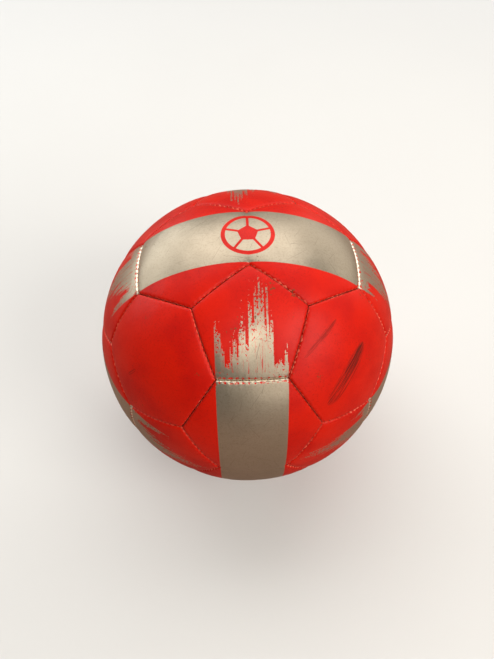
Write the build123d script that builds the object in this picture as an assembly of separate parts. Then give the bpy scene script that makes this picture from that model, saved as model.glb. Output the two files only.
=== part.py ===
"""Machine-stitched 26-panel football, size 5, in millimetres.

The cover is a truncated icosahedron with pyritohedral symmetry: 12 pentagons,
8 single hexagons and 6 double hexagons (two hexagons cut as one piece).
Every panel is a laminate: a plastic cover sheet whose edge is turned in at the
seam, and a foam-and-fabric backing behind it. Inside are the bladder and valve.

Frame: origin at the ball's centre, +Z through the middle of one double hexagon,
whose printed band runs along X. +X is right, +Y is back.
"""

from build123d import *
from itertools import product
from math import cos, degrees, radians, sin, tan
import os

# Ball and wall build-up, measured along the radius
BALL_RADIUS = 110.0
COVER_THICKNESS = 1.2
WALL_THICKNESS = 5.0
BLADDER_THICKNESS = 1.0

# Seams
SEAM_HALF_GAP = 0.3
EDGE_ROUNDING = 1.3
RIM_THICKNESS = 1.4
THREAD_RADIUS = 0.25
THREAD_DEPTH = 2.4
THREAD_END_CLEARANCE = 0.8

# Corner directions, as angles seen from the centre
CREASE_END_POLAR = 11.876
SHOULDER_ANGLES = (20.560, 25.470)
BAND_END_ANGLES = (14.984, 41.230)

# Valve, in the middle of the left back top hexagon
VALVE_SIGNS = (-1, 1, 1)
VALVE_HOLE_RADIUS = 4.0
COLLAR_RADIUS = 3.8
COLLAR_TOP = BALL_RADIUS - 0.8
TUBE_RADIUS = 4.6
TUBE_BOTTOM = BALL_RADIUS - 20.5
FLANGE_RADIUS = 13.0
FLANGE_THICKNESS = 1.2
PLUG_RADIUS = 2.5
PLUG_TOP = BALL_RADIUS - 1.2
PLUG_BOTTOM = BALL_RADIUS - 19.0
BARB_RADIUS = 3.0
BARB_BOTTOM = BALL_RADIUS - 13.0
BARB_TOP = BALL_RADIUS - 11.0
VENT_RADIUS = 1.5
NEEDLE_RADIUS = 1.0
NEEDLE_BOTTOM = BALL_RADIUS - 16.0
MOUTH_RADIUS = 1.6
MOUTH_DEPTH = 0.6
SLIT_LENGTH = 1.8
SLIT_WIDTH = 0.2
PATCH_RADIUS = 15.0
PATCH_THICKNESS = 0.5

WALL_INNER_RADIUS = BALL_RADIUS - WALL_THICKNESS
POCKET_RADIUS = BALL_RADIUS - COVER_THICKNESS
BLADDER_INNER_RADIUS = WALL_INNER_RADIUS - BLADDER_THICKNESS
OVERSHOOT = 2.0

SIDES = {
    "x": {1: "right", -1: "left"},
    "y": {1: "back", -1: "front"},
    "z": {1: "top", -1: "bottom"},
}


def direction(x, y, z):
    """Unit vector along (x, y, z)."""
    return Vector(x, y, z).normalized()


def turned(vector, steps):
    """The vector after cyclic exchange of the axes: X to Y, Y to Z, Z to X."""
    x, y, z = vector.X, vector.Y, vector.Z
    for _ in range(steps):
        x, y, z = z, x, y
    return Vector(x, y, z)


def mirrored(vector, signs):
    """The vector with its components multiplied by the signs."""
    return Vector(vector.X * signs[0], vector.Y * signs[1], vector.Z * signs[2])


# The three kinds of corner, all in the octant where x, y and z are positive
CREASE_END = direction(0, sin(radians(CREASE_END_POLAR)), cos(radians(CREASE_END_POLAR)))
SHOULDER = direction(tan(radians(SHOULDER_ANGLES[0])), tan(radians(SHOULDER_ANGLES[1])), 1)
BAND_END = direction(tan(radians(BAND_END_ANGLES[0])), 1, tan(radians(BAND_END_ANGLES[1])))
FLIP_X = (-1, 1, 1)
FLIP_Y = (1, -1, 1)


def pentagon_corners():
    """Pentagon on the YZ plane between +Y and +Z."""
    return [
        CREASE_END,
        SHOULDER,
        BAND_END,
        mirrored(BAND_END, FLIP_X),
        mirrored(SHOULDER, FLIP_X),
    ]


def hexagon_corners():
    """Hexagon in the middle of the positive octant."""
    corners = []
    for steps in range(3):
        corners.append(turned(SHOULDER, steps))
        corners.append(turned(BAND_END, steps))
    middle = direction(1, 1, 1)
    start = (corners[0] - middle * corners[0].dot(middle)).normalized()
    side = middle.cross(start)
    corners.sort(key=lambda c: side.get_signed_angle(c - middle * c.dot(middle), middle))
    return corners


def half_double_corners():
    """The +X half of the double hexagon on +Z, starting at its crease."""
    far_end = turned(BAND_END, 1)
    return [
        mirrored(CREASE_END, FLIP_Y),
        mirrored(SHOULDER, FLIP_Y),
        mirrored(far_end, FLIP_Y),
        far_end,
        SHOULDER,
        CREASE_END,
    ]


def panel_list():
    """Name and outlines of all 26 panels. A double hexagon has two outlines."""
    panels = {}
    axes = "xyz"
    for steps in range(3):
        main, second = axes[(2 + steps) % 3], axes[(1 + steps) % 3]
        for a, b in product((1, -1), (1, -1)):
            signs = tuple(turned(Vector(1, b, a), steps))
            corners = [mirrored(turned(c, steps), signs) for c in pentagon_corners()]
            panels[f"pent_{SIDES[main][a]}_{SIDES[second][b]}"] = [corners]
        for a in (1, -1):
            outlines = []
            for half in (1, -1):
                signs = tuple(turned(Vector(half, 1, a), steps))
                outlines.append([mirrored(turned(c, steps), signs) for c in half_double_corners()])
            panels[f"double_{SIDES[main][a]}"] = outlines
    for signs in product((1, -1), repeat=3):
        name = "_".join(SIDES[axis][sign] for axis, sign in zip(axes, signs))
        panels[f"hex_{name}"] = [[mirrored(c, signs) for c in hexagon_corners()]]
    return panels


def middle_of(outlines):
    """Direction of the middle of a panel."""
    total = Vector(0, 0, 0)
    for corners in outlines:
        for corner in corners:
            total = total + corner
    return total.normalized()


def shell(outer, inner, facing):
    """Hollow sphere whose poles and seam lie away from the facing direction."""
    helper = Vector(0, 0, 1) if abs(facing.Z) < 0.9 else Vector(1, 0, 0)
    pole = facing.cross(helper).normalized()
    place = Plane(origin=(0, 0, 0), x_dir=-facing, z_dir=pole).location
    return place * (Sphere(outer) - Sphere(inner))


def cut_to_outline(solid, corners, gap, open_side):
    """Keeps what lies inside the corners' planes, each moved in by the gap.

    The last side of an open outline is the crease of a double hexagon and isn't moved.
    """
    middle = middle_of([corners])
    count = len(corners)
    for i in range(count):
        normal = corners[i].cross(corners[(i + 1) % count]).normalized()
        if normal.dot(middle) < 0:
            normal = -normal
        shift = 0.0 if open_side and i == count - 1 else gap
        solid = split(solid, bisect_by=Plane(origin=normal * shift, z_dir=normal), keep=Keep.TOP)
    return solid


def panel_solid(outlines, outer, inner, gap):
    """Spherical slab over a panel's outline."""
    facing = middle_of(outlines)
    blank = shell(outer, inner, facing)
    halves = [cut_to_outline(blank, corners, gap, len(outlines) == 2) for corners in outlines]
    solid = halves[0]
    for half in halves[1:]:
        solid = solid + half
    return solid


def rounded(solid):
    """The slab with its outer edge rounded into the seam."""
    outer_face = max(solid.faces().filter_by(GeomType.SPHERE), key=lambda face: face.area)
    return fillet(outer_face.edges(), EDGE_ROUNDING)


def cover_solid(outlines):
    """Cover sheet with its turned-in rim: a tray that opens to the inside."""
    slab = rounded(panel_solid(outlines, BALL_RADIUS, WALL_INNER_RADIUS, SEAM_HALF_GAP))
    pocket_gap = SEAM_HALF_GAP + RIM_THICKNESS
    pocket = panel_solid(outlines, POCKET_RADIUS, WALL_INNER_RADIUS - OVERSHOOT, pocket_gap)
    return slab - pocket


def backing_solid(outlines):
    """Foam and fabric that fill the cover's tray."""
    gap = SEAM_HALF_GAP + RIM_THICKNESS
    return panel_solid(outlines, POCKET_RADIUS, WALL_INNER_RADIUS, gap)


def rod(radius, bottom, top):
    """Cylinder on the valve axis between two distances from the ball's centre."""
    upright = (Align.CENTER, Align.CENTER, Align.MIN)
    return Pos(0, 0, bottom) * Cylinder(radius, top - bottom, align=upright)


def on_valve_axis(solid):
    """Moves a solid built along Z onto the valve axis."""
    return Plane(origin=(0, 0, 0), z_dir=direction(*VALVE_SIGNS)).location * solid


def layer(outer, inner, radius):
    """Disc of a spherical layer on the valve axis, its poles away from the disc."""
    hollow = Rot(90, 0, 0) * (Sphere(outer) - Sphere(inner))
    return hollow & rod(radius, inner - 2 * OVERSHOOT, outer + OVERSHOOT)


def valve_body_solid():
    """Rubber valve seat: flange inside the bladder, collar out to the cover."""
    flange = layer(BLADDER_INNER_RADIUS, BLADDER_INNER_RADIUS - FLANGE_THICKNESS, FLANGE_RADIUS)
    tube = rod(TUBE_RADIUS, TUBE_BOTTOM, BLADDER_INNER_RADIUS - FLANGE_THICKNESS / 2)
    collar = rod(COLLAR_RADIUS, TUBE_BOTTOM + OVERSHOOT, COLLAR_TOP)
    body = flange + tube + collar
    body = body - rod(PLUG_RADIUS, PLUG_BOTTOM, COLLAR_TOP + OVERSHOOT)
    body = body - rod(BARB_RADIUS, BARB_BOTTOM, BARB_TOP)
    return body - rod(VENT_RADIUS, TUBE_BOTTOM - OVERSHOOT, PLUG_BOTTOM + OVERSHOOT)


def valve_plug_solid():
    """Rubber plug with a needle passage that ends in a self-closing slit."""
    plug = rod(PLUG_RADIUS, PLUG_BOTTOM, PLUG_TOP) + rod(BARB_RADIUS, BARB_BOTTOM, BARB_TOP)
    plug = plug - rod(NEEDLE_RADIUS, NEEDLE_BOTTOM, PLUG_TOP + OVERSHOOT)
    mouth_middle = PLUG_TOP - MOUTH_DEPTH / 2
    plug = plug - Pos(0, 0, mouth_middle) * Cone(NEEDLE_RADIUS, MOUTH_RADIUS, MOUTH_DEPTH)
    slit_middle = (PLUG_BOTTOM + NEEDLE_BOTTOM) / 2
    slit_height = NEEDLE_BOTTOM - PLUG_BOTTOM + OVERSHOOT
    return plug - Pos(0, 0, slit_middle) * Box(SLIT_LENGTH, SLIT_WIDTH, slit_height)


def valve_patch_solid():
    """Reinforcing ring glued on the bladder around the collar."""
    disc = layer(WALL_INNER_RADIUS + PATCH_THICKNESS, WALL_INNER_RADIUS, PATCH_RADIUS)
    return disc - rod(COLLAR_RADIUS, WALL_INNER_RADIUS - 2 * OVERSHOOT, BALL_RADIUS)


def bladder_solid():
    """Hollow rubber sphere with one hole, closed by the valve collar."""
    hollow = Rot(90, 0, 0) * (Sphere(WALL_INNER_RADIUS) - Sphere(BLADDER_INNER_RADIUS))
    return hollow - rod(COLLAR_RADIUS, BLADDER_INNER_RADIUS - 2 * OVERSHOOT, BALL_RADIUS)


def seam_ends(panels):
    """Both end directions of every stitched seam. The creases aren't seams."""
    seams = {}
    for outlines in panels.values():
        for corners in outlines:
            count = len(corners) - (1 if len(outlines) == 2 else 0)
            for i in range(count):
                ends = (corners[i], corners[(i + 1) % len(corners)])
                key = frozenset(tuple(round(v, 4) + 0.0 for v in end) for end in ends)
                seams[key] = ends
    return list(seams.values())


def thread_run(start, end):
    """Thread of one seam, lying between the two turned-in rims."""
    radius = BALL_RADIUS - THREAD_DEPTH
    normal = start.cross(end).normalized()
    margin = THREAD_END_CLEARANCE / radius
    angle = radians(start.get_angle(end))
    along = normal.cross(start)
    first = start * cos(margin) + along * sin(margin)
    section = Plane(origin=first * radius, x_dir=first, z_dir=normal.cross(first))
    profile = section * Circle(THREAD_RADIUS)
    return revolve(profile, Axis((0, 0, 0), normal), degrees(angle - 2 * margin))


os.makedirs("parts", exist_ok=True)
all_panels = panel_list()
valve_panel = "hex_" + "_".join(SIDES[a][s] for a, s in zip("xyz", VALVE_SIGNS))
valve_hole = on_valve_axis(
    rod(VALVE_HOLE_RADIUS, WALL_INNER_RADIUS - 2 * OVERSHOOT, BALL_RADIUS + OVERSHOOT)
)
patch_recess = on_valve_axis(
    layer(WALL_INNER_RADIUS + PATCH_THICKNESS, WALL_INNER_RADIUS - OVERSHOOT, PATCH_RADIUS)
)

for name, outlines in all_panels.items():
    cover = cover_solid(outlines)
    backing = backing_solid(outlines)
    if name == valve_panel:
        cover = cover - valve_hole
        backing = backing - valve_hole - patch_recess
    export_step(cover, f"parts/cover_{name}.step")
    export_step(backing, f"parts/backing_{name}.step")

export_step(on_valve_axis(bladder_solid()), "parts/bladder.step")
export_step(on_valve_axis(valve_body_solid()), "parts/valve_body.step")
export_step(on_valve_axis(valve_plug_solid()), "parts/valve_plug.step")
export_step(on_valve_axis(valve_patch_solid()), "parts/valve_patch.step")

thread_runs = [thread_run(start, end) for start, end in seam_ends(all_panels)]
export_step(Compound(children=thread_runs), "parts/seam_thread.step")
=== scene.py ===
"""Looks of the stitched 26-panel football, in metres, in the CAD model's frame.

Each cover panel is rebuilt as one closed sheet: crowned in the middle, rolled into the
seam, gathered at every stitch, with its edge turned in. The stitches are real loops of
thread. The print, wear and dirt are procedural, and so are the painted shade in the
seams and the painted highlights on the seam lips.
"""

from itertools import product
from math import cos, pi, radians, sin, tan

import bpy
import numpy as np
from mathutils import Matrix, Vector


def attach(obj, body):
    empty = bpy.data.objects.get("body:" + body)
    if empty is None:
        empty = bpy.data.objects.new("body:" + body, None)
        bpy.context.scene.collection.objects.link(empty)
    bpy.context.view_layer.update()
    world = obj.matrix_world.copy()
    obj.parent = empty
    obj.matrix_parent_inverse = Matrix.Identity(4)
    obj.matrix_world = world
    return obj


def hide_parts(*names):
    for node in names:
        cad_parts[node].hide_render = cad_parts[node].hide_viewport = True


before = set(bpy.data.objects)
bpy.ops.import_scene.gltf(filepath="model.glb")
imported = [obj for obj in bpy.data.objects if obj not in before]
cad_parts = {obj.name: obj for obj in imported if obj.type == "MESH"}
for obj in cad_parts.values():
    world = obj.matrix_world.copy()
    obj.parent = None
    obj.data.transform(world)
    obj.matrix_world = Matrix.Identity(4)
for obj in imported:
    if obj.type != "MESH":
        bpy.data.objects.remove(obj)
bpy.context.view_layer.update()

MM = 0.001
RADIUS = 110.0

# Corner directions of the panels, as seen from the centre
CREASE_END_POLAR = 11.876
SHOULDER_ANGLES = (20.560, 25.470)
BAND_END_ANGLES = (14.984, 41.230)

# Panel surface, in millimetres
EDGE_INSET = 0.04
ROLL_RADIUS = 1.5
CROWN_DROP, CROWN_FALLOFF = 0.85, 4.2
CROWN_VARIATION = (-0.12, 0.10)
CROWN_FADE = 9.0
STITCH_PITCH = 3.6
GAPE, GAPE_REACH = 0.26, 0.9
GATHER, GATHER_REACH = 0.36, 1.25
WIDE_GATHER, WIDE_GATHER_REACH = 0.12, 3.2
CREASE_DEPTH, CREASE_HALF_WIDTH, CREASE_FULL_AT = 0.20, 1.3, 16
DENT_DEPTH, DENT_HALF_WIDTH, DENT_REACH = 0.42, 1.5, 2.6
LONG_LUMPS, LONG_LUMP_SIZE = 0.10, 46.0
SHORT_LUMPS, SHORT_LUMP_SIZE = 0.045, 15.0
RIM_DEPTHS = (2.9, 4.7)
RIM_THICKNESS = 1.4
RIM_END_DEPTH = 2.25
INSIDE_DEPTH = 4.2

# Rows of the mesh from a panel's middle to its edge
COARSE_ROWS = 46
FINE_ROWS = 12
FINE_SPAN = 0.13
FINE_POWER = 1.15
SAME_POINT = 1e6

# Valve, in millimetres
VALVE_SIGNS = (-1, 1, 1)
VALVE_HOLE = 4.0
VALVE_RIM_DEPTHS = (1.9, 4.7)
VALVE_LIP, VALVE_LIP_WIDTH = 0.55, 1.1
VALVE_DISH, VALVE_DISH_REACH = 0.30, 3.0

# Print coordinate of a point that carries no print
NO_PRINT = 900.0

SIDES = {
    "x": {1: "right", -1: "left"},
    "y": {1: "back", -1: "front"},
    "z": {1: "top", -1: "bottom"},
}


# ---------------------------------------------------------------- panel outlines


def unit(v):
    v = np.asarray(v, float)
    return v / np.linalg.norm(v, axis=-1, keepdims=True)


CREASE_END = unit([0, sin(radians(CREASE_END_POLAR)), cos(radians(CREASE_END_POLAR))])
SHOULDER = unit([tan(radians(SHOULDER_ANGLES[0])), tan(radians(SHOULDER_ANGLES[1])), 1])
BAND_END = unit([tan(radians(BAND_END_ANGLES[0])), 1, tan(radians(BAND_END_ANGLES[1]))])
FLIP_X = np.array([-1, 1, 1])
FLIP_Y = np.array([1, -1, 1])


def pentagon():
    """The pentagon between +Y and +Z. Its third edge is where the band ends."""
    return [CREASE_END, SHOULDER, BAND_END, BAND_END * FLIP_X, SHOULDER * FLIP_X]


def hexagon():
    """The hexagon in the middle of the positive octant, its corners in order."""
    corners = [np.roll(c, k) for k in range(3) for c in (SHOULDER, BAND_END)]
    middle = unit([1, 1, 1])
    across = unit(corners[0] - middle * (corners[0] @ middle))
    side = np.cross(middle, across)
    return sorted(corners, key=lambda c: np.arctan2(c @ side, c @ across))


def half_double():
    """The +X half of the double hexagon on +Z. Its last edge is the crease."""
    far_end = np.roll(BAND_END, 1)
    return [
        CREASE_END * FLIP_Y,
        SHOULDER * FLIP_Y,
        far_end * FLIP_Y,
        far_end,
        SHOULDER,
        CREASE_END,
    ]


class Panel:
    """One panel: its outlines, and how to turn it back to where its kind is defined."""

    def __init__(self, name, kind, outlines, steps=0, signs=(1, 1, 1)):
        self.name = name
        self.kind = kind
        self.outlines = outlines
        self.steps = steps
        self.signs = np.array(signs)
        self.middle = unit(np.sum([c for corners in outlines for c in corners], axis=0))

    def home(self, points):
        """Points of this panel, turned to where pentagon() or half_double() lies."""
        return np.roll(points * self.signs, -self.steps, axis=-1)


def all_panels():
    panels = []
    for steps in range(3):
        main, second = "xyz"[(2 + steps) % 3], "xyz"[(1 + steps) % 3]
        for a, b in product((1, -1), (1, -1)):
            signs = np.roll([1, b, a], steps)
            corners = [np.roll(c, steps) * signs for c in pentagon()]
            name = f"pent_{SIDES[main][a]}_{SIDES[second][b]}"
            panels.append(Panel(name, "pent", [corners], steps, signs))
        for a in (1, -1):
            outlines = []
            for half in (1, -1):
                signs = np.roll([half, 1, a], steps)
                outlines.append([np.roll(c, steps) * signs for c in half_double()])
            signs = np.roll([1, 1, a], steps)
            panels.append(Panel(f"double_{SIDES[main][a]}", "double", outlines, steps, signs))
    for signs in product((1, -1), repeat=3):
        name = "_".join(SIDES[axis][sign] for axis, sign in zip("xyz", signs))
        corners = [c * np.array(signs) for c in hexagon()]
        panels.append(Panel(f"hex_{name}", "hex", [corners]))
    return panels


# ---------------------------------------------------------------- smooth seeded noise

WAVES = np.random.default_rng(26).normal(size=(40, 3))
WAVE_PHASES = np.random.default_rng(27).uniform(0, 2 * pi, 40)


def waves(points, wavelength, first, count=12):
    """Sum of plane waves over points in millimetres: smooth, between about -1 and 1."""
    k = unit(WAVES[first : first + count]) * (2 * pi / wavelength)
    phases = WAVE_PHASES[first : first + count]
    return np.sin(points @ k.T + phases).sum(axis=1) / np.sqrt(count) / 1.4


# ---------------------------------------------------------------- panel surface


class Seam:
    """One edge of an outline, with its distance and run functions."""

    def __init__(self, start, end, middle, reflex=None):
        normal = unit(np.cross(start, end))
        if normal @ middle < 0:
            normal = -normal
        self.start, self.end, self.normal, self.reflex = start, end, normal, reflex
        self.along = unit(end - start * (start @ end))
        self.angle = np.arccos(start @ end)
        self.stitches = round(self.angle * RADIUS / STITCH_PITCH)

    def run(self, points):
        """0 at the start of the seam and 1 at its end."""
        return np.arctan2(points @ self.along, points @ self.start) / self.angle

    def distance(self, points):
        """Distance over the ball's surface, round the corner at a reflex end."""
        d = RADIUS * np.arcsin(np.clip(points @ self.normal, -1, 1))
        if self.reflex is None:
            return d
        corner = self.start if self.reflex == 0 else self.end
        run = self.run(points)
        beyond = run < 0 if self.reflex == 0 else run > 1
        to_corner = RADIUS * np.arccos(np.clip(points @ corner, -1, 1))
        return np.where(beyond, to_corner, d)

    def pull(self, points):
        """1 at each stitch and 0 midway between two."""
        run = np.clip(self.run(points), 0, 1)
        return 0.5 + 0.5 * np.cos(2 * pi * (run * self.stitches - 0.5))


def seams_of(corners, is_half):
    """The stitched edges of an outline. The crease of a double hexagon isn't one."""
    middle = unit(np.sum(corners, axis=0))
    count = len(corners)
    seams = []
    for i in range(count - 1 if is_half else count):
        reflex = {0: 0, count - 2: 1}.get(i) if is_half else None
        seams.append(Seam(corners[i], corners[(i + 1) % count], middle, reflex))
    return seams


def inset(corners, is_half):
    """The corners moved in from the stitched edges."""
    middle = unit(np.sum(corners, axis=0))
    count = len(corners)
    normals = []
    for i in range(count):
        n = unit(np.cross(corners[i], corners[(i + 1) % count]))
        normals.append(n if n @ middle > 0 else -n)
    shift = [EDGE_INSET / RADIUS] * count
    if is_half:
        shift[-1] = 0.0
    moved = []
    for i, corner in enumerate(corners):
        a, b = normals[i - 1], normals[i]
        matrix = np.array([a, b, corner])
        moved.append(unit(np.linalg.solve(matrix, [shift[i - 1], shift[i], 1.0])))
    return moved


def spacing():
    """Row positions from a panel's middle, 0, to its edge, 1: closer near the edge."""
    coarse = np.linspace(0, 1 - FINE_SPAN, COARSE_ROWS + 1)
    fine = 1 - FINE_SPAN * (1 - np.linspace(0, 1, FINE_ROWS + 1)[1:]) ** FINE_POWER
    return np.concatenate([coarse, fine])


def patch_grid(corners):
    """Quads over an outline: one patch for each corner, from the middle outwards."""
    middle = unit(np.sum(corners, axis=0))
    rows = spacing()
    s, t = np.meshgrid(rows, rows, indexing="ij")
    s, t = s[..., None], t[..., None]
    size = len(rows)
    index = np.arange(size * size).reshape(size, size)
    quads = np.stack([index[:-1, :-1], index[1:, :-1], index[1:, 1:], index[:-1, 1:]], axis=-1)
    points, faces = [], []
    count = len(corners)
    for i, corner in enumerate(corners):
        before = unit(corner + corners[i - 1])
        after = unit(corner + corners[(i + 1) % count])
        grid = (1 - s) * (1 - t) * middle + s * (1 - t) * before
        grid = grid + s * t * corner + (1 - s) * t * after
        if np.cross(before, corner) @ middle > 0:
            faces.append(quads.reshape(-1, 4) + len(points) * size * size)
        else:
            faces.append(quads.reshape(-1, 4)[:, ::-1] + len(points) * size * size)
        points.append(unit(grid).reshape(-1, 3))
    return np.concatenate(points), np.concatenate(faces)


def ring_grid(corners, hole):
    """Quads between a round hole in the middle and the outline."""
    middle = unit(np.sum(corners, axis=0))
    rows = spacing()
    edge = []
    steps = np.concatenate([(1 - rows[::-1]) / 2, 0.5 + rows[1:] / 2])[:-1]
    count = len(corners)
    for i, corner in enumerate(corners):
        following = corners[(i + 1) % count]
        edge.append((1 - steps)[:, None] * corner + steps[:, None] * following)
    edge = unit(np.concatenate(edge))
    outward = unit(edge - middle * (edge @ middle)[:, None])
    inner = unit(middle * cos(hole / RADIUS) + outward * sin(hole / RADIUS))
    t = rows[:, None, None]
    points = unit((1 - t) * inner + t * edge)
    n = len(edge)
    index = np.arange(len(rows) * n).reshape(len(rows), n)
    after = np.roll(index, -1, axis=1)
    quads = np.stack([index[:-1], index[1:], after[1:], after[:-1]], axis=-1).reshape(-1, 4)
    flat = points.reshape(-1, 3)
    a, b, c = flat[quads[0, 0]], flat[quads[0, 1]], flat[quads[0, 2]]
    if np.cross(b - a, c - a) @ middle < 0:
        quads = quads[:, ::-1]
    return flat, quads


def open_loops(faces):
    """The boundary loops of the grid, each a list of points in face order."""
    edges = np.concatenate([faces[:, [i, (i + 1) % 4]] for i in range(4)])
    span = int(faces.max()) + 1
    forward = edges[:, 0] * span + edges[:, 1]
    backward = edges[:, 1] * span + edges[:, 0]
    border = edges[~np.isin(forward, backward)]
    following = dict(border.tolist())
    loops = []
    while following:
        start, point = following.popitem()
        loop = [start]
        while point != start:
            loop.append(point)
            point = following.pop(point)
        loops.append(np.array(loop))
    return loops


def sculpt(panel, corners, points):
    """Pushes the outline's smooth points into shape.

    Returns the new directions, the depth below the ball's radius, the distance to the
    nearest seam and how strongly the nearest stitch pulls, one for each point.
    """
    is_half = panel.kind == "double"
    seams = seams_of(corners, is_half)
    distances = np.stack([seam.distance(points) for seam in seams])
    pulls = np.stack([seam.pull(points) for seam in seams])
    order = np.argsort(distances, axis=0)
    columns = np.arange(len(points))
    nearest = np.maximum(distances[order[0], columns], 0)
    second = np.maximum(distances[order[1], columns], 0)
    pull = pulls[order[0], columns]
    rounded = nearest + second - np.hypot(nearest, second)

    roll = np.minimum(rounded, ROLL_RADIUS)
    depth = ROLL_RADIUS - np.sqrt(ROLL_RADIUS**2 - (ROLL_RADIUS - roll) ** 2)
    depth += CROWN_DROP * np.exp(-rounded / CROWN_FALLOFF)
    unevenness = 0.75 + 0.35 * waves(points * RADIUS, 17.0, 20)
    depth += GATHER * pull * unevenness * np.exp(-((nearest / GATHER_REACH) ** 2))
    depth += WIDE_GATHER * pull * unevenness * np.exp(-nearest / WIDE_GATHER_REACH)
    if is_half:
        aside, along = RADIUS * np.abs(panel.home(points)[:, :2]).T
        deeper = np.clip(along / CREASE_FULL_AT, 0.5, 1)
        depth += CREASE_DEPTH * np.exp(-((aside / CREASE_HALF_WIDTH) ** 2)) * deeper
        dent = np.exp(-((aside / DENT_HALF_WIDTH) ** 2)) * np.exp(-rounded / DENT_REACH)
        depth += DENT_DEPTH * dent

    gape = GAPE * (1 - pulls) * (0.8 + 0.3 * waves(points * RADIUS, 9.0, 4))
    reach = np.exp(-((np.maximum(distances, 0) / GAPE_REACH) ** 2))
    normals = np.stack([seam.normal for seam in seams])
    shift = np.einsum("en,ek->nk", gape * reach, normals)
    moved = unit(points + shift / RADIUS)
    return moved, depth, nearest, pull


def print_map(panel, points):
    """Where a point lies in the print, in millimetres: across the band, and along it
    from the seam where the band ends, negative inside the band itself."""
    home = panel.home(points)
    result = np.full((len(points), 3), NO_PRINT)
    if panel.kind == "pent":
        end = Seam(BAND_END, BAND_END * FLIP_X, unit(np.sum(pentagon(), axis=0)))
        result[:, 0] = -np.prod(panel.signs) * RADIUS * home[:, 0]
        result[:, 1] = end.distance(home)
    elif panel.kind == "double":
        far_end = np.roll(BAND_END, 1)
        end = Seam(far_end * FLIP_Y, far_end, np.array([0.0, 0.0, 1.0]))
        mirrored = np.abs(home[:, :1]) * [1, 0, 0] + home * [0, 1, 1]
        result[:, 0] = RADIUS * home[:, 1]
        result[:, 1] = -end.distance(mirrored)
    return result


class Shell:
    """A closed piece that grows by rings: vertices, point values and faces."""

    def __init__(self, vertices, values, quads):
        self.vertices, self.values, self.quads, self.triangles = [vertices], [values], [quads], []
        self.count = len(vertices)

    def add(self, vertices, values):
        """Adds vertices and gives back their indices."""
        self.vertices.append(vertices)
        self.values.append(values)
        added = np.arange(self.count, self.count + len(vertices))
        self.count += len(vertices)
        return added


def outer_surface(panel, has_valve):
    """Smooth directions, faces and point values of the outside, its halves joined.

    The values are the moved direction, the depth, the distance to the nearest seam, the
    stitch's pull and the place in the print.
    """
    all_points, all_faces, all_values = [], [], []
    offset = 0
    for corners in panel.outlines:
        moved_in = inset(corners, panel.kind == "double")
        points, faces = ring_grid(moved_in, VALVE_HOLE) if has_valve else patch_grid(moved_in)
        all_points.append(points)
        all_faces.append(faces + offset)
        all_values.append(np.column_stack([*sculpt(panel, corners, points), print_map(panel, points)]))
        offset += len(points)
    base = np.concatenate(all_points)
    keys = np.round(base * SAME_POINT).astype(np.int64)
    _, first, back = np.unique(keys, axis=0, return_index=True, return_inverse=True)
    return base[first], back.reshape(-1)[np.concatenate(all_faces)], np.concatenate(all_values)[first]


def swollen(panel, has_valve, base, depth, nearest):
    """The depth with this panel's own fullness, its lumps and the dish round the valve."""
    fullness = np.random.default_rng(hash_name(panel.name)).uniform(*CROWN_VARIATION)
    fade = np.clip(nearest / CROWN_FADE, 0, 1)
    depth = depth - fullness * fade * fade * (3 - 2 * fade)
    here = base * RADIUS
    depth = depth + LONG_LUMPS * waves(here, LONG_LUMP_SIZE, 0)
    depth = depth + SHORT_LUMPS * waves(here, SHORT_LUMP_SIZE, 12)
    if has_valve:
        to_edge = RADIUS * np.arccos(np.clip(base @ panel.middle, -1, 1)) - VALVE_HOLE
        lip = np.clip(1 - to_edge / VALVE_LIP_WIDTH, 0, 1)
        depth = depth + VALVE_LIP * lip**2 + VALVE_DISH * np.exp(-to_edge / VALVE_DISH_REACH)
    return np.maximum(depth, 0.0)


def turn_in(shell, loop, start, inward, levels, values):
    """Turns an edge inwards through rings of (depth, way in). Gives back the last ring."""
    placed, pull = values
    previous = loop
    for level, aside in levels:
        ring = unit(start + inward * (aside / RADIUS)) * (RADIUS - level)
        edge = np.full(len(loop), -level)
        current = shell.add(ring, np.column_stack([placed[loop], edge, pull[loop]]))
        a, b = previous, np.roll(previous, -1)
        shell.quads.append(np.stack([b, a, current, np.roll(current, -1)], axis=-1))
        previous = current
    return previous


def bridge(shell, outer, hole):
    """Joins the inner ring of the seams to that of the valve's hole."""
    if len(hole) != len(outer):
        raise ValueError("the valve panel's rings differ")
    places = unit(np.concatenate(shell.vertices))
    start = np.argmin(np.linalg.norm(places[hole] - places[outer[0]], axis=1))
    hole = np.roll(hole[::-1], start + 1 - len(hole))
    turned = [np.roll(hole, k) for k in (0, 1, -1)]
    hole = min(turned, key=lambda ring: np.linalg.norm(places[ring] - places[outer], axis=1).max())
    shell.quads.append(np.stack([np.roll(outer, -1), outer, hole, np.roll(hole, -1)], axis=-1))


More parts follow.
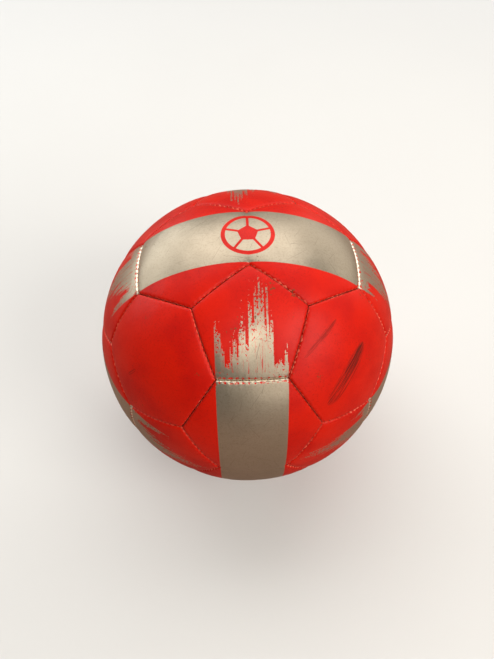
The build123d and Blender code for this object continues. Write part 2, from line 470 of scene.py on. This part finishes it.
def closed_panel(panel):
    """Vertices in metres, faces and point values of one closed panel."""
    has_valve = panel.kind == "hex" and tuple(np.sign(panel.middle)) == VALVE_SIGNS
    base, faces, values = outer_surface(panel, has_valve)
    direction, placed = values[:, :3], values[:, 6:]
    depth, nearest, pull = values[:, 3:6].T
    depth = swollen(panel, has_valve, base, depth, nearest)
    outside = direction * (RADIUS - depth)[:, None]
    shell = Shell(outside, np.column_stack([placed, nearest, pull]), faces)
    hole = None
    for loop in open_loops(faces):
        edge = direction[loop]
        inward = unit(panel.middle - edge * (edge @ panel.middle)[:, None])
        to_middle = np.arccos(np.clip(edge @ panel.middle, -1, 1)) * RADIUS
        if has_valve and to_middle.max() < 2 * VALVE_HOLE:
            levels = [(level, 0.0) for level in VALVE_RIM_DEPTHS]
            hole = turn_in(shell, loop, edge, inward, levels, (placed, pull))
        else:
            levels = [(level, 0.0) for level in RIM_DEPTHS]
            levels += [(RIM_DEPTHS[1], RIM_THICKNESS), (RIM_END_DEPTH, RIM_THICKNESS)]
            outer = turn_in(shell, loop, base[loop], inward, levels, (placed, pull))
    if hole is None:
        inside = (panel.middle * (RADIUS - INSIDE_DEPTH))[None]
        tip = shell.add(inside, np.array([[NO_PRINT, NO_PRINT, NO_PRINT, -INSIDE_DEPTH, 0.0]]))
        fan = np.stack([np.roll(outer, -1), outer, np.full(len(outer), tip[0])], axis=-1)
        shell.triangles.append(fan)
    else:
        bridge(shell, outer, hole)
    vertices = np.concatenate(shell.vertices) * MM
    return vertices, np.concatenate(shell.quads), shell.triangles, np.concatenate(shell.values)


def hash_name(name):
    """The same number for the same name on every run."""
    value = 7
    for letter in name:
        value = (value * 131 + ord(letter)) % 1_000_003
    return value


def mesh_object(name, vertices, quads, triangles=()):
    """A smooth-shaded mesh object from arrays."""
    mesh = bpy.data.meshes.new(name)
    parts = [quads.reshape(-1)] + [t.reshape(-1) for t in triangles]
    sizes = np.concatenate(
        [np.full(len(quads), 4)] + [np.full(len(t), 3) for t in triangles]
    ).astype(np.int32)
    loops = np.concatenate(parts).astype(np.int32)
    starts = np.concatenate([[0], np.cumsum(sizes)[:-1]]).astype(np.int32)
    mesh.vertices.add(len(vertices))
    mesh.vertices.foreach_set("co", np.ascontiguousarray(vertices, np.float32).reshape(-1))
    mesh.loops.add(len(loops))
    mesh.loops.foreach_set("vertex_index", loops)
    mesh.polygons.add(len(sizes))
    mesh.polygons.foreach_set("loop_start", starts)
    mesh.polygons.foreach_set("loop_total", sizes)
    mesh.update(calc_edges=True)
    mesh.validate()
    mesh.shade_smooth()
    result = bpy.data.objects.new(name, mesh)
    bpy.context.scene.collection.objects.link(result)
    return result


def build_cover(panel, material):
    vertices, quads, triangles, values = closed_panel(panel)
    piece = mesh_object(f"skin_{panel.name}", vertices, quads, triangles)
    mesh = piece.data
    placed = mesh.attributes.new("print_mm", "FLOAT_VECTOR", "POINT")
    placed.data.foreach_set("vector", values[:, :3].astype(np.float32).reshape(-1))
    for column, name in ((3, "seam_mm"), (4, "stitch")):
        made = mesh.attributes.new(name, "FLOAT", "POINT")
        made.data.foreach_set("value", values[:, column].astype(np.float32))
    mesh.materials.append(material)
    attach(piece, "root")
    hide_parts(f"cover_{panel.name}")


# ---------------------------------------------------------------- node helpers


class Nodes:
    """Short ways to add nodes to one material."""

    def __init__(self, name):
        self.material = bpy.data.materials.new(name)
        self.material.use_nodes = True
        self.tree = self.material.node_tree
        self.tree.nodes.clear()
        self.output = self.tree.nodes.new("ShaderNodeOutputMaterial")
        self.shader = self.tree.nodes.new("ShaderNodeBsdfPrincipled")
        self.link(self.shader.outputs[0], self.output.inputs["Surface"])

    def link(self, source, target):
        self.tree.links.new(source, target)

    def put(self, value, target):
        """A number, a colour or another node's output goes into the socket."""
        if isinstance(value, bpy.types.NodeSocket):
            self.link(value, target)
        else:
            target.default_value = value

    def node(self, kind, **settings):
        made = self.tree.nodes.new(kind)
        for key, value in settings.items():
            setattr(made, key, value)
        return made

    def math(self, operation, a, b=None):
        made = self.node("ShaderNodeMath", operation=operation)
        self.put(a, made.inputs[0])
        if b is not None:
            self.put(b, made.inputs[1])
        return made.outputs[0]

    def add(self, a, b):
        return self.math("ADD", a, b)

    def sub(self, a, b):
        return self.math("SUBTRACT", a, b)

    def mul(self, a, b):
        return self.math("MULTIPLY", a, b)

    def steps(self, value, low, high, to_low=0.0, to_high=1.0, smooth=True):
        """The value's way from low to high, as to_low to to_high."""
        made = self.node("ShaderNodeMapRange")
        made.interpolation_type = "SMOOTHSTEP" if smooth else "LINEAR"
        made.clamp = True
        self.put(value, made.inputs["Value"])
        made.inputs["From Min"].default_value = low
        made.inputs["From Max"].default_value = high
        made.inputs["To Min"].default_value = to_low
        made.inputs["To Max"].default_value = to_high
        return made.outputs["Result"]

    def mix(self, share, a, b):
        """Colour a where share is 0 and b where it is 1."""
        made = self.node("ShaderNodeMix", data_type="RGBA")
        self.put(share, made.inputs["Factor"])
        for value, socket in ((a, made.inputs["A"]), (b, made.inputs["B"])):
            self.put(value, socket)
        return made.outputs["Result"]

    def attribute(self, name, output="Fac"):
        return self.node("ShaderNodeAttribute", attribute_name=name).outputs[output]

    def position(self, scale):
        """Place on the object, in units of 1/scale metres."""
        coordinates = self.node("ShaderNodeTexCoord").outputs["Object"]
        return self.vector("SCALE", coordinates, scale)

    def vector(self, operation, a, b=None):
        made = self.node("ShaderNodeVectorMath", operation=operation)
        self.put(a, made.inputs[0])
        if b is not None:
            self.put(b, made.inputs["Scale" if operation == "SCALE" else 1])
        return made.outputs["Value" if operation in ("DOT_PRODUCT", "LENGTH") else "Vector"]

    def split(self, vector):
        made = self.node("ShaderNodeSeparateXYZ")
        self.link(vector, made.inputs[0])
        return made.outputs

    def join(self, x, y, z=0.0):
        made = self.node("ShaderNodeCombineXYZ")
        for value, socket in zip((x, y, z), made.inputs):
            self.put(value, socket)
        return made.outputs[0]

    def noise(self, vector, scale=1.0, detail=2.0, roughness=0.5):
        made = self.node("ShaderNodeTexNoise")
        self.link(vector, made.inputs["Vector"])
        made.inputs["Scale"].default_value = scale
        made.inputs["Detail"].default_value = detail
        made.inputs["Roughness"].default_value = roughness
        return made.outputs["Fac"]

    def cells(self, vector, scale=1.0):
        """A Voronoi texture, one cell for each random point."""
        made = self.node("ShaderNodeTexVoronoi", feature="F1")
        self.link(vector, made.inputs["Vector"])
        made.inputs["Scale"].default_value = scale
        return made.outputs

    def bump(self, height, distance, strength, onto=None):
        made = self.node("ShaderNodeBump")
        self.link(height, made.inputs["Height"])
        made.inputs["Distance"].default_value = distance
        made.inputs["Strength"].default_value = strength
        if onto is not None:
            self.link(onto, made.inputs["Normal"])
        return made.outputs[0]


def srgb(red, green, blue):
    """Linear colour from sRGB numbers out of 255."""
    linear = []
    for value in (red, green, blue):
        value /= 255
        linear.append(value / 12.92 if value <= 0.04045 else ((value + 0.055) / 1.055) ** 2.4)
    return (*linear, 1.0)


# ---------------------------------------------------------------- cover material

RED = srgb(208, 24, 2)
RED_DEEP = srgb(190, 14, 1)
RED_GRIME = srgb(132, 10, 4)
# Pale coral on the seam lips: wear, and partly a painted highlight
RED_LIP_WEAR_AND_HIGHLIGHT = srgb(244, 132, 104)
SILVER = srgb(171, 158, 138)
SILVER_DARK = srgb(146, 133, 113)
SCRATCH = srgb(84, 73, 60)
# Cream on the lips at the band's ends: worn print, and partly a painted highlight
CREAM_WEAR_AND_HIGHLIGHT = srgb(244, 236, 214)
SCUFF = srgb(64, 20, 9)
SPECK = srgb(104, 66, 34)
# Darker red, painted as shade in the seam grooves
SEAM_SHADE_RED = srgb(104, 10, 6)

# Print, in millimetres. A pair is where a soft edge begins and where it ends
BAND_EDGE = (21.72, 21.48)
WIDE_COLUMNS, THIN_COLUMNS = 0.27, 0.85
TALL_MIDDLE, TALL_EDGE, TALL_HEIGHT = 5.6, (7.4, 7.0), 21.0
LOW_FROM, LOW_HEIGHT = (12.6, 12.9), 8.0
LAST_STROKE, LAST_EDGE, LAST_HEIGHT = 20.1, (0.9, 0.8), 14.0
COLUMN_HEIGHT, COLUMN_VARIATION = 7.5, 26.0
SOLID_BY_SEAM = 9.0

# Pictogram on the top band, in millimetres
RING_RADIUS, RING_EDGE = 15.4, (1.45, 1.2)
PENTAGON_EDGE = (5.7, 5.5)
SPOKE_EDGE, SPOKE_START, SPOKE_END = (0.95, 0.75), (5.6, 6.0), (14.8, 14.4)

COVER_GLOSS = {
    "IOR": 1.5,
    "Specular IOR Level": 0.16,
    "Coat Weight": 0.03,
    "Coat Roughness": 0.22,
}

# Short scratches: lattice cell, half width, reach and shift of the lattice
SCRATCHES = [(17.0, 0.13, 11.0, 0.0), (10.0, 0.09, 5.5, 37.0)]

# Dark rubbed marks: start and end on the ball, half width, strength
RUBS = [
    ((71, -53, 66), (46, -87, 47), 6.4, 0.85),
    ((70, -54, 65), (57, -73, 59), 4.2, 1.0),
    ((52, -48, 84), (31, -72, 78), 2.0, 0.60),
    ((-79, -61, 47), (-72, -62, 55), 1.3, 0.5),
]

# Spattered brown specks: middle on the ball and reach
SPATTERS = [
    ((12, -38, 102), 9.0),
    ((25, -39, 99), 7.0),
    ((-64, -40, 80), 3.0),
    ((40, -78, 66), 5.0),
]


def columns_of(n, across, per_mm, seed):
    """Random numbers for upright columns of uneven width."""
    made = n.node("ShaderNodeTexVoronoi", voronoi_dimensions="1D", feature="F1")
    n.link(n.add(n.mul(across, per_mm), seed), made.inputs["W"])
    made.inputs["Scale"].default_value = 1.0
    return n.split(made.outputs["Color"])


def near(n, value, middle, edge):
    """1 within a distance of middle, with a soft edge."""
    return n.steps(n.math("ABSOLUTE", n.sub(value, middle)), *edge)


def streak_mask(n, across, along):
    """Dry-brush streaks: solid by the seam, then columns that break up and end."""
    tall, uneven, _ = columns_of(n, across, WIDE_COLUMNS, 8.2)
    thin, lined, _ = columns_of(n, across, THIN_COLUMNS, 11.3)

    # How far each column reaches from the seam
    beyond = n.steps(across, *LOW_FROM)
    low = n.mul(beyond, n.add(LOW_HEIGHT, n.mul(thin, 3.0)))
    height = n.add(n.mul(tall, COLUMN_VARIATION), COLUMN_HEIGHT)
    height = n.add(n.mul(height, n.sub(1.0, beyond)), low)
    in_cluster = near(n, across, TALL_MIDDLE, TALL_EDGE)
    height = n.add(height, n.mul(in_cluster, n.add(n.mul(uneven, 12.0), TALL_HEIGHT)))
    height = n.add(height, n.mul(near(n, across, LAST_STROKE, LAST_EDGE), LAST_HEIGHT))
    height = n.mul(height, n.add(n.mul(thin, 0.55), 0.66))
    height = n.math("MAXIMUM", height, n.add(n.mul(thin, 3.0), SOLID_BY_SEAM))

    # The paint breaks up towards the column's end
    share = n.math("DIVIDE", along, height)
    strands = n.noise(n.join(n.mul(across, 1.9), n.mul(along, 0.14), 8.0), 1.0, 2.0, 0.6)
    flecks = n.noise(n.join(n.mul(across, 0.85), n.mul(along, 0.62), 5.0), 1.0, 2.0, 0.65)
    texture = n.add(n.mul(strands, 0.30), n.mul(flecks, 0.70))
    wanted = n.steps(share, 0.22, 1.0, 0.31, 0.52, smooth=False)
    wanted = n.add(wanted, n.steps(share, 0.99, 1.01, 0.0, 0.07, smooth=False))
    wanted = n.add(wanted, n.steps(share, 1.01, 1.9, 0.0, 0.20, smooth=False))
    mask = n.steps(n.sub(texture, wanted), -0.008, 0.008)

    # Thin red lines run along some columns
    line = n.noise(n.join(n.mul(across, 1.9), n.mul(along, 0.05), 9.0), 1.0, 1.0, 0.5)
    line = near(n, line, 0.5, (0.010, 0.024))
    plain = n.steps(n.mul(lined, n.steps(along, 2.0, 6.0)), 0.50, 0.45)
    return n.mul(mask, n.math("MAXIMUM", line, plain))


def emblem_mask(n, place):
    """A plain ball pictogram: a ring, a pentagon and five spokes."""
    x, y, z = n.split(place)
    mask = near(n, n.vector("LENGTH", n.join(x, y)), RING_RADIUS, RING_EDGE)
    reach = None
    for i in range(5):
        angle = radians(-90 + 72 * i)
        side = n.add(n.mul(x, cos(angle)), n.mul(y, sin(angle)))
        reach = side if reach is None else n.math("MAXIMUM", reach, side)
    mask = n.math("MAXIMUM", mask, n.steps(reach, *PENTAGON_EDGE))
    for i in range(5):
        angle = radians(90 + 72 * i)
        along = n.add(n.mul(x, cos(angle)), n.mul(y, sin(angle)))
        aside = n.math("ABSOLUTE", n.sub(n.mul(y, cos(angle)), n.mul(x, sin(angle))))
        spoke = n.mul(n.steps(aside, *SPOKE_EDGE), n.steps(along, *SPOKE_START))
        mask = n.math("MAXIMUM", mask, n.mul(spoke, n.steps(along, *SPOKE_END)))
    return n.mul(mask, n.steps(z, 0.0, 1.0))


def rub_mask(n, place):
    """Bundles of dark strokes where the ball was rubbed along something."""
    total = None
    for start, end, half_width, strength in RUBS:
        start, end = np.array(start, float), np.array(end, float)
        middle, run = (start + end) / 2, end - start
        length = np.linalg.norm(run)
        run = run / length
        side = np.cross(unit(middle), run)
        offset = n.vector("SUBTRACT", place, tuple(middle))
        along = n.vector("DOT_PRODUCT", offset, tuple(run))
        aside = n.vector("DOT_PRODUCT", offset, tuple(side))
        reach = n.math("POWER", n.math("ABSOLUTE", n.mul(along, 2 / length)), 3.0)
        room = n.mul(n.math("SQRT", n.math("MAXIMUM", n.sub(1.0, reach), 0.0)), half_width)
        inside = n.steps(n.sub(room, n.math("ABSOLUTE", aside)), 0.0, half_width * 0.45)
        strokes = n.noise(n.join(n.mul(aside, 1.35), n.mul(along, 0.03), half_width), 1.0, 3.0, 0.7)
        strokes = n.steps(strokes, 0.42, 0.56, 0.06, 1.0)
        facing = n.vector("DOT_PRODUCT", place, tuple(middle / np.linalg.norm(middle)))
        mark = n.mul(n.mul(n.mul(inside, strokes), strength), n.math("GREATER_THAN", facing, 0.0))
        total = mark if total is None else n.math("MAXIMUM", total, mark)
    return total


def spatter_mask(n, place):
    """Small specks that thin out away from the middle of each spatter."""
    reach = None
    for middle, radius in SPATTERS:
        away = n.vector("LENGTH", n.vector("SUBTRACT", place, middle))
        share = n.steps(away, radius, 0.0)
        reach = share if reach is None else n.math("MAXIMUM", reach, share)
    everywhere = n.steps(n.noise(place, 0.045, 2.0, 0.5), 0.60, 0.72, 0.0, 0.55)
    reach = n.math("MAXIMUM", reach, everywhere)
    dots = n.noise(place, 0.62, 2.0, 0.6)
    return n.steps(n.add(dots, n.mul(reach, 0.24)), 0.76, 0.80)


def hairlines(n, place):
    """Short straight scratches: one in each cell of a random lattice, in any direction."""
    total = None
    for size, half_width, reach, shift in SCRATCHES:
        shifted = n.vector("SCALE", n.vector("ADD", place, (shift, shift, -shift)), 1 / size)
        cell = n.cells(shifted)
        offset = n.vector("SUBTRACT", shifted, cell["Position"])
        facing = n.vector("NORMALIZE", n.vector("SUBTRACT", cell["Color"], (0.5, 0.5, 0.5)))
        aside = n.math("ABSOLUTE", n.vector("DOT_PRODUCT", offset, facing))
        line = n.steps(aside, half_width / size, 0.3 * half_width / size)
        away = n.vector("LENGTH", offset)
        line = n.mul(line, n.steps(away, reach / size, 0.6 * reach / size))
        total = line if total is None else n.math("MAXIMUM", total, line)
    return n.mul(total, n.steps(n.noise(place, 0.06, 2.0, 0.5), 0.38, 0.52))


def print_mask(n, place, edge, pull, across, along):
    """The silver print: bands, streaks, the pictogram's gaps and what is rubbed off."""
    in_width = n.steps(n.math("ABSOLUTE", across), *BAND_EDGE)
    band = n.math("LESS_THAN", along, 0.0)
    silver = n.mul(n.math("MAXIMUM", streak_mask(n, across, along), band), in_width)
    silver = n.mul(silver, n.sub(1.0, emblem_mask(n, place)))

    # Small spots beside the seams, and ragged patches on the pentagons
    spots = n.noise(place, 0.85, 2.0, 0.55)
    spots = n.steps(n.add(spots, n.mul(pull, 0.16)), 0.63, 0.67)
    worn_off = n.mul(near(n, edge, 1.5, (0.9, 0.4)), spots)
    farther = n.mul(n.steps(edge, 7.0, 3.0), n.steps(along, -0.5, 0.5))
    ragged = n.mul(farther, n.steps(n.noise(place, 0.42, 3.0, 0.6), 0.63, 0.65))
    worn_off = n.math("MAXIMUM", worn_off, ragged)
    return n.mul(silver, n.sub(1.0, worn_off)), in_width


def sheet_colour(n, place, silver, cloudy, fine, hairs):
    """The red sheet with its grime, and the scratched silver print on it."""
    red = n.mix(n.steps(cloudy, 0.35, 0.68), RED, RED_DEEP)
    red = n.mix(n.mul(n.steps(fine, 0.45, 0.75), 0.22), red, RED_DEEP)
    speckle = n.noise(place, 0.8, 4.0, 0.8)
    patches = n.steps(n.noise(place, 0.03, 2.0, 0.5), 0.35, 0.65, 0.25, 0.75)
    red = n.mix(n.mul(n.steps(speckle, 0.48, 0.78), patches), red, RED_GRIME)
    silvery = n.mix(n.mul(n.steps(cloudy, 0.30, 0.75), 0.35), SILVER, SILVER_DARK)
    silvery = n.mix(n.mul(n.steps(speckle, 0.45, 0.72), 0.75), silvery, SILVER_DARK)
    silvery = n.mix(n.mul(hairs, 0.50), silvery, SCRATCH)
    return n.mix(silver, red, silvery)


def pale_lips_wear_and_highlight(n, colour, place, edge, pull, along, in_width):
    """Pale edges along the seams, cream where the print meets the band's end: wear, and partly a
    painted highlight on the lips.
    """
    wavy = n.noise(place, 0.55, 2.0, 0.5)
    lip_reach = n.add(0.62, n.mul(n.sub(wavy, 0.5), 1.6))
    lip = n.math("LESS_THAN", edge, n.add(lip_reach, n.mul(pull, -0.35)))
    lip = n.mul(lip, n.steps(edge, -1.2, -0.6))
    stretches = n.steps(n.noise(place, 0.035, 1.0, 0.5), 0.50, 0.60, 0.35, 1.0)
    # More pale lips towards the ball's left and right sides: painted highlight, partly wear
    outermost = n.steps(n.math("ABSOLUTE", n.split(place)[0]), 76.0, 90.0)
    stretches = n.math("MAXIMUM", stretches, outermost)
    # Pale beads between the stitches: painted highlight on the lips, partly wear
    beads = n.steps(n.add(wavy, n.mul(pull, -0.22)), 0.30, 0.46)
    pale = n.mul(n.mul(lip, beads), stretches)
    colour = n.mix(n.mul(pale, 0.75), colour, RED_LIP_WEAR_AND_HIGHLIGHT)
    band_end = n.mul(in_width, n.steps(n.math("ABSOLUTE", along), 1.5, 1.3))
    scallop = n.sub(n.add(0.95, n.mul(n.sub(wavy, 0.5), 0.7)), n.mul(pull, 0.35))
    cream = n.mul(band_end, n.steps(n.sub(edge, scallop), 0.12, -0.12))
    return n.mix(n.mul(cream, 0.95), colour, CREAM_WEAR_AND_HIGHLIGHT)


def cover_material():
    n = Nodes("cover_sheet_print")
    place = n.position(1000.0)
    edge = n.attribute("seam_mm")
    pull = n.attribute("stitch")
    across, along, _ = n.split(n.attribute("print_mm", "Vector"))
    cloudy = n.noise(place, 0.035, 3.0, 0.55)
    fine = n.noise(place, 1.4, 3.0, 0.6)
    hairs = hairlines(n, place)

    silver, in_width = print_mask(n, place, edge, pull, across, along)
    colour = sheet_colour(n, place, silver, cloudy, fine, hairs)
    colour = pale_lips_wear_and_highlight(n, colour, place, edge, pull, along, in_width)

    # Painted shade in and beside the seam grooves, broken up by noise, and rubbed marks
    seam_shade_patches = n.steps(n.noise(place, 0.3, 2.0), 0.25, 0.6, 0.5, 1.0)
    # Painted shade: darker red on the lips and down the walls of each seam groove
    seam_shade = n.mul(n.steps(edge, 0.35, -0.7), seam_shade_patches)
    colour = n.mix(n.mul(seam_shade, 0.7), colour, SEAM_SHADE_RED)
    rubs = rub_mask(n, place)
    specks = spatter_mask(n, place)
    colour = n.mix(n.mul(rubs, 0.92), colour, SCUFF)
    colour = n.mix(n.mul(specks, 0.75), colour, SPECK)
    n.link(colour, n.shader.inputs["Base Color"])

    # Gloss
    n.link(n.mul(silver, 0.8), n.shader.inputs["Metallic"])
    rough = n.add(n.steps(cloudy, 0.3, 0.7, 0.38, 0.46), n.mul(fine, 0.06))
    # Rougher on the rubbed marks, the specks and the painted seam shade
    dirt_and_seam_shade = n.math("MAXIMUM", n.math("MAXIMUM", rubs, specks), seam_shade)
    rough = n.sub(n.add(rough, n.mul(dirt_and_seam_shade, 0.25)), n.mul(silver, 0.06))
    n.link(rough, n.shader.inputs["Roughness"])
    for name, value in COVER_GLOSS.items():
        n.shader.inputs[name].default_value = value

    # Soft unevenness of the foam, leather-like grain, the print's thickness and scratches
    normal = n.bump(n.noise(place, 0.16, 2.0, 0.5), 0.0003, 0.5)
    normal = n.bump(n.cells(place, 1.9)["Distance"], 0.00005, 0.45, normal)
    normal = n.bump(n.noise(place, 2.6, 2.0, 0.6), 0.00006, 0.5, normal)
    normal = n.bump(silver, 0.00003, 0.5, normal)
    normal = n.bump(hairs, 0.00003, -0.5, normal)
    n.link(normal, n.shader.inputs["Normal"])
    return n.material


# ---------------------------------------------------------------- the other materials


def soft_material(name, light, dark, rough, scale, bump_height):
    """Cloudy colour, speckle and a fine bump, for rubber, foam and thread."""
    n = Nodes(name)
    place = n.position(1000.0)
    clouds = n.noise(place, scale * 0.12, 3.0, 0.6)
    speckle = n.noise(place, scale, 2.0, 0.6)
    shade = n.add(n.mul(clouds, 0.6), n.mul(speckle, 0.4))
    n.link(n.mix(n.steps(shade, 0.35, 0.65), light, dark), n.shader.inputs["Base Color"])
    n.link(n.steps(speckle, 0.3, 0.7, rough - 0.06, rough + 0.06), n.shader.inputs["Roughness"])
    n.link(n.bump(speckle, bump_height, 0.6), n.shader.inputs["Normal"])
    return n.material


cover_sheet = cover_material()
foam_cloth = soft_material("foam_backing", srgb(226, 222, 208), srgb(204, 198, 180), 0.85, 1.2, 0.0001)
black_rubber = soft_material("bladder_rubber", srgb(34, 33, 32), srgb(22, 21, 21), 0.62, 0.8, 0.00005)
valve_rubber = soft_material("valve_rubber", srgb(40, 38, 37), srgb(24, 23, 22), 0.5, 1.6, 0.00003)
patch_rubber = soft_material("patch_rubber", srgb(46, 44, 42), srgb(30, 29, 28), 0.7, 1.0, 0.00005)
thread_twist = soft_material("waxed_thread", srgb(158, 74, 52), srgb(108, 34, 22), 0.55, 4.0, 0.00005)



def paint(node, material):
    """Gives a CAD node its material."""
    node.data.materials.clear()
    node.data.materials.append(material)


for name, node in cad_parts.items():
    if name.startswith("backing_"):
        paint(node, foam_cloth)
paint(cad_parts["bladder"], black_rubber)
paint(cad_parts["valve_body"], valve_rubber)
paint(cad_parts["valve_plug"], valve_rubber)
paint(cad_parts["valve_patch"], patch_rubber)

panels = all_panels()
for panel in panels:
    build_cover(panel, cover_sheet)


# ---------------------------------------------------------------- stitches

THREAD_RADIUS = 0.21
THREAD_VARIATION = (0.9, 1.1)
STITCH_DEPTH, DEPTH_JITTER = 0.62, 0.1
STITCH_REACH = 0.75
STITCH_BOW = 0.55
STITCH_SLANT, SLANT_VARIATION = 0.42, (0.7, 1.3)
PITCH_JITTER = 0.05
THREAD_SIDES = 7
THREAD_RINGS = 7


def all_seams():
    """Every stitched seam once."""
    found = {}
    for panel in panels:
        for corners in panel.outlines:
            for seam in seams_of(corners, panel.kind == "double"):
                key = tuple(np.round(seam.start + seam.end, 4) + 0.0)
                found.setdefault(key, seam)
    return [found[key] for key in sorted(found)]


def tube(path, radius):
    """Vertices and quads of a round tube along a path, both in millimetres."""
    tangents = unit(np.gradient(path, axis=0))
    up = unit(path)
    side = unit(np.cross(tangents, up))
    over = np.cross(side, tangents)
    angles = np.linspace(0, 2 * pi, THREAD_SIDES, endpoint=False)
    ring = np.cos(angles)[:, None] * side[:, None] + np.sin(angles)[:, None] * over[:, None]
    points = path[:, None] + radius[:, None, None] * ring
    index = np.arange(len(path) * THREAD_SIDES).reshape(len(path), THREAD_SIDES)
    after = np.roll(index, -1, axis=1)
    quads = np.stack([index[:-1], after[:-1], after[1:], index[1:]], axis=-1).reshape(-1, 4)
    caps = [index[0, ::-1], index[-1]]
    return points.reshape(-1, 3), quads, caps


def stitch_path(seam, stitch, rng):
    """The middle line of one stitch's loop across the seam, in millimetres."""
    t = np.linspace(-1, 1, THREAD_RINGS)
    run = (stitch + 0.5 + rng.uniform(-PITCH_JITTER, PITCH_JITTER)) / seam.stitches
    angle = run * seam.angle
    here = seam.start * cos(angle) + seam.along * sin(angle)
    forward = seam.along * cos(angle) - seam.start * sin(angle)
    level = RADIUS - CROWN_DROP - STITCH_DEPTH + rng.uniform(-DEPTH_JITTER, DEPTH_JITTER)
    slant = STITCH_SLANT * rng.uniform(*SLANT_VARIATION)
    path = here * (level - STITCH_BOW * t**2)[:, None]
    return path + seam.normal * (STITCH_REACH * t)[:, None] + forward * (slant * t)[:, None]


def build_stitches():
    """All the loops of the stitches as one piece."""
    rng = np.random.default_rng(84)
    vertices, quads, triangles = [], [], []
    count = 0
    for seam in all_seams():
        for stitch in range(seam.stitches):
            path = stitch_path(seam, stitch, rng)
            radius = np.full(THREAD_RINGS, THREAD_RADIUS) * rng.uniform(*THREAD_VARIATION)
            points, faces, caps = tube(path, radius)
            vertices.append(points)
            quads.append(faces + count)
            for cap in caps:
                fan = np.stack([np.full(THREAD_SIDES - 2, cap[0]), cap[1:-1], cap[2:]], axis=-1)
                triangles.append(fan + count)
            count += len(points)
    places = np.concatenate(vertices) * MM
    piece = mesh_object("stitch_loops", places, np.concatenate(quads), triangles)
    piece.data.materials.append(thread_twist)
    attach(piece, "root")
    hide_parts("seam_thread")


build_stitches()


# ---------------------------------------------------------------- floor, light, camera

FLOOR_HALF = 3.0
PALE = srgb(242, 241, 239)
AMBIENT = 0.13
FLOOR_SEEN = (srgb(218, 217, 214), srgb(213, 212, 209))
FLOOR_BOUNCE = srgb(150, 123, 109)
FADE_START, FADE_END = 0.40, 1.50

# Lights, all aimed at the ball: place and size in metres, power in watts, colour
LIGHTS = {
    "overhead": ((-0.04, 0.78, 1.20), (2.1, 1.1), 20.5, (1.0, 0.98, 0.96)),
    "viewer": ((0.03, -0.80, 1.10), (0.5, 0.5), 5.8, (1.0, 0.98, 0.93)),
    "right": ((0.95, -0.65, 0.90), (0.7, 0.7), 10.5, (1.0, 0.96, 0.91)),
    "back_left": ((-1.25, 0.90, 0.50), (1.6, 0.8), 11.0, (0.97, 1.0, 1.0)),
    "back_right": ((1.20, 1.00, 0.45), (1.6, 0.8), 5.5, (1.0, 0.95, 0.88)),
    "front": ((0.55, -1.40, 0.50), (1.0, 0.7), 3.8, (1.0, 0.94, 0.88)),
}

# Camera: its place in ball radii, and the directions of the picture's right and top
CAMERA_PLACE = (-0.0749, -2.1186, 3.0824)
CAMERA_RIGHT = (0.99947, -0.03265, 0.00066)
CAMERA_UP = (0.02635, 0.81808, 0.57450)
SENSOR_WIDTH, LENS = 36.0, 28.67
NEAREST_SEEN = 0.01


def floor():
    """A pale floor that fades into the backdrop. It throws little light on the ball."""
    corners = np.array([[-1, -1, 0], [1, -1, 0], [1, 1, 0], [-1, 1, 0]], float) * FLOOR_HALF
    corners[:, 2] = -RADIUS * MM
    piece = mesh_object("floor", corners, np.array([[0, 1, 2, 3]]))
    n = Nodes("floor_pale")
    place = n.position(1.0)
    seen = n.node("ShaderNodeLightPath").outputs["Is Camera Ray"]
    colour = n.mix(n.noise(place, 3.0, 3.0), *FLOOR_SEEN)
    far = n.steps(n.vector("LENGTH", place), FADE_START, FADE_END)
    colour = n.mix(far, colour, (0.0, 0.0, 0.0, 1.0))
    n.link(n.mix(seen, FLOOR_BOUNCE, colour), n.shader.inputs["Base Color"])
    n.shader.inputs["Emission Color"].default_value = PALE
    n.link(n.mul(seen, far), n.shader.inputs["Emission Strength"])
    n.shader.inputs["Roughness"].default_value = 0.9
    n.shader.inputs["Specular IOR Level"].default_value = 0.1
    piece.data.materials.append(n.material)


def area_light(name, place, size, power, colour):
    light = bpy.data.lights.new(name, "AREA")
    light.shape = "RECTANGLE"
    light.size, light.size_y = size
    light.energy = power
    light.color = colour
    piece = bpy.data.objects.new(name, light)
    piece.location = place
    piece.rotation_euler = (-Vector(place)).to_track_quat("-Z", "Y").to_euler()
    bpy.context.scene.collection.objects.link(piece)


def camera():
    """The camera looks down at the ball from the front, about half a metre away."""
    lens = bpy.data.cameras.new("camera")
    lens.sensor_width = SENSOR_WIDTH
    lens.lens = LENS
    lens.clip_start = NEAREST_SEEN
    right, up = Vector(CAMERA_RIGHT), Vector(CAMERA_UP)
    back = right.cross(up).normalized()
    turn = Matrix((right, up, back)).transposed().to_4x4()
    piece = bpy.data.objects.new("camera", lens)
    piece.matrix_world = Matrix.Translation(Vector(CAMERA_PLACE) * (RADIUS * MM)) @ turn
    bpy.context.scene.collection.objects.link(piece)
    bpy.context.scene.camera = piece


floor()
for name, settings in LIGHTS.items():
    area_light(name, *settings)


def surroundings():
    """Dim soft light from all round, with the floor's pale tone as the backdrop."""
    world = bpy.data.worlds.new("studio")
    world.use_nodes = True
    tree = world.node_tree
    background = tree.nodes["Background"]
    background.inputs["Color"].default_value = PALE
    strength = tree.nodes.new("ShaderNodeMath")
    strength.operation = "MAXIMUM"
    strength.inputs[1].default_value = AMBIENT
    tree.links.new(tree.nodes.new("ShaderNodeLightPath").outputs["Is Camera Ray"], strength.inputs[0])
    tree.links.new(strength.outputs[0], background.inputs["Strength"])
    bpy.context.scene.world = world


surroundings()
bpy.context.scene.view_settings.view_transform = "Standard"

camera()
